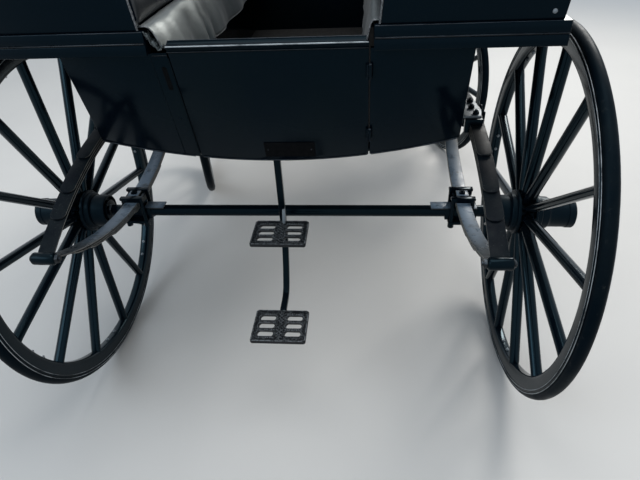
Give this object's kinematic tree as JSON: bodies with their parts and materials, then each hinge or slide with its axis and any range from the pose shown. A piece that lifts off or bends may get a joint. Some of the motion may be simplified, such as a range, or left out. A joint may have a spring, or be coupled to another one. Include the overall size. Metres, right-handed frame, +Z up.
{
  "type": "horse drawn wagonette carriage",
  "caption": "Light four-wheeled horse carriage with a rear door and steps, lengthwise seats, elliptic springs, turning fore-carriage and shafts.",
  "frame": {"origin": "on the ground under the middle of the outline, as the carriage stands", "axes": "+Y forward, +X to the off (right) side, +Z up"},
  "size_m": [1.8531, 4.2043, 1.724],
  "materials": {
    "gloss_paint": "gloss black coach paint",
    "step_iron": "black painted cast iron, worn",
    "tyre_rubber": "dusty black rubber",
    "black_leather": "black leather with a sheen",
    "worn_steel": "black paint worn to blue-grey steel"
  },
  "bodies": {
    "carriage_body": {"floor": "gloss_paint", "belly_panel": "gloss_paint", "side_panels": "gloss_paint", "rear_panels": "gloss_paint", "seat_boards": "gloss_paint", "seat_risers": "gloss_paint", "front_wall": "gloss_paint", "seat_end_panels": "gloss_paint", "seat_backs": "gloss_paint", "side_cushions": "black_leather", "back_pads": "black_leather", "leather_falls": "black_leather", "front_floor": "gloss_paint", "driver_box": "gloss_paint", "driver_seat_board": "gloss_paint", "driver_seat_ends": "gloss_paint", "front_rockers": "gloss_paint", "driver_cushion": "black_leather", "driver_backrest": "gloss_paint", "driver_back_pad": "black_leather", "toe_board": "gloss_paint", "dashboard": "gloss_paint", "whip_socket": "gloss_paint", "upper_bed": "gloss_paint", "upper_wheel_plate": "gloss_paint", "rear_axle": "gloss_paint", "rear_axle_clips": "gloss_paint", "rear_lower_springs": "worn_steel", "rear_upper_springs": "worn_steel", "rear_spring_brackets": "worn_steel", "step_stem": "step_iron", "step_plates": "step_iron"},
    "rear_door": {"door_panel": "gloss_paint", "door_top_rail": "gloss_paint", "door_hinges": "gloss_paint"},
    "fore_carriage": {"lower_wheel_plate": "gloss_paint", "front_bolster": "gloss_paint", "futchells": "gloss_paint", "front_axle": "gloss_paint", "front_axle_clips": "gloss_paint", "front_lower_springs": "worn_steel", "front_upper_springs": "worn_steel"},
    "shafts": {"shafts": "gloss_paint"},
    "swingletree": {"swingletree": "gloss_paint"},
    "rear_wheel_left": {"rear_left_nave": "gloss_paint", "rear_left_spokes": "gloss_paint", "rear_left_tyre": "tyre_rubber"},
    "rear_wheel_right": {"rear_right_nave": "gloss_paint", "rear_right_spokes": "gloss_paint", "rear_right_tyre": "tyre_rubber"},
    "front_wheel_left": {"front_left_nave": "gloss_paint", "front_left_spokes": "gloss_paint", "front_left_tyre": "tyre_rubber"},
    "front_wheel_right": {"front_right_nave": "gloss_paint", "front_right_spokes": "gloss_paint", "front_right_tyre": "tyre_rubber"}
  },
  "joints": [
    {"name": "rear_wheel_left_spin", "type": "hinge", "parent": "carriage_body", "child": "rear_wheel_left", "pos_m": [-0.66355, -1.54229, 0.56014], "axis": [0.9996, 0, 0.0297], "continuous": true},
    {"name": "rear_wheel_right_spin", "type": "hinge", "parent": "carriage_body", "child": "rear_wheel_right", "pos_m": [0.78768, -1.54229, 0.56014], "axis": [0.9996, 0, -0.0297], "continuous": true},
    {"name": "front_wheel_left_spin", "type": "hinge", "parent": "fore_carriage", "child": "front_wheel_left", "pos_m": [-0.61686, -0.36607, 0.44019], "axis": [0.9451, 0.3254, 0.0297], "continuous": true},
    {"name": "front_wheel_right_spin", "type": "hinge", "parent": "fore_carriage", "child": "front_wheel_right", "pos_m": [0.741, 0.10148, 0.44019], "axis": [0.9451, 0.3254, -0.0297], "continuous": true},
    {"name": "steering", "type": "hinge", "parent": "carriage_body", "child": "fore_carriage", "pos_m": [0.06207, -0.13229, 0.79], "axis": [0, 0, 1], "range_deg": [-49, 11]},
    {"name": "shafts_lift", "type": "hinge", "parent": "fore_carriage", "child": "shafts", "pos_m": [-0.08444, 0.29319, 0.762], "axis": [0.9455, 0.3256, 0], "range_deg": [0, 60]},
    {"name": "swingletree_pivot", "type": "hinge", "parent": "shafts", "child": "swingletree", "pos_m": [-0.18926, 0.59761, 0.67621], "axis": [-0.1265, 0.3673, 0.9215], "range_deg": [-12, 12]},
    {"name": "rear_door_hinge", "type": "hinge", "parent": "carriage_body", "child": "rear_door", "pos_m": [0.29807, -1.79729, 1.05277], "axis": [0, -0.2926, 0.9562], "range_deg": [0, 100]}
  ]
}
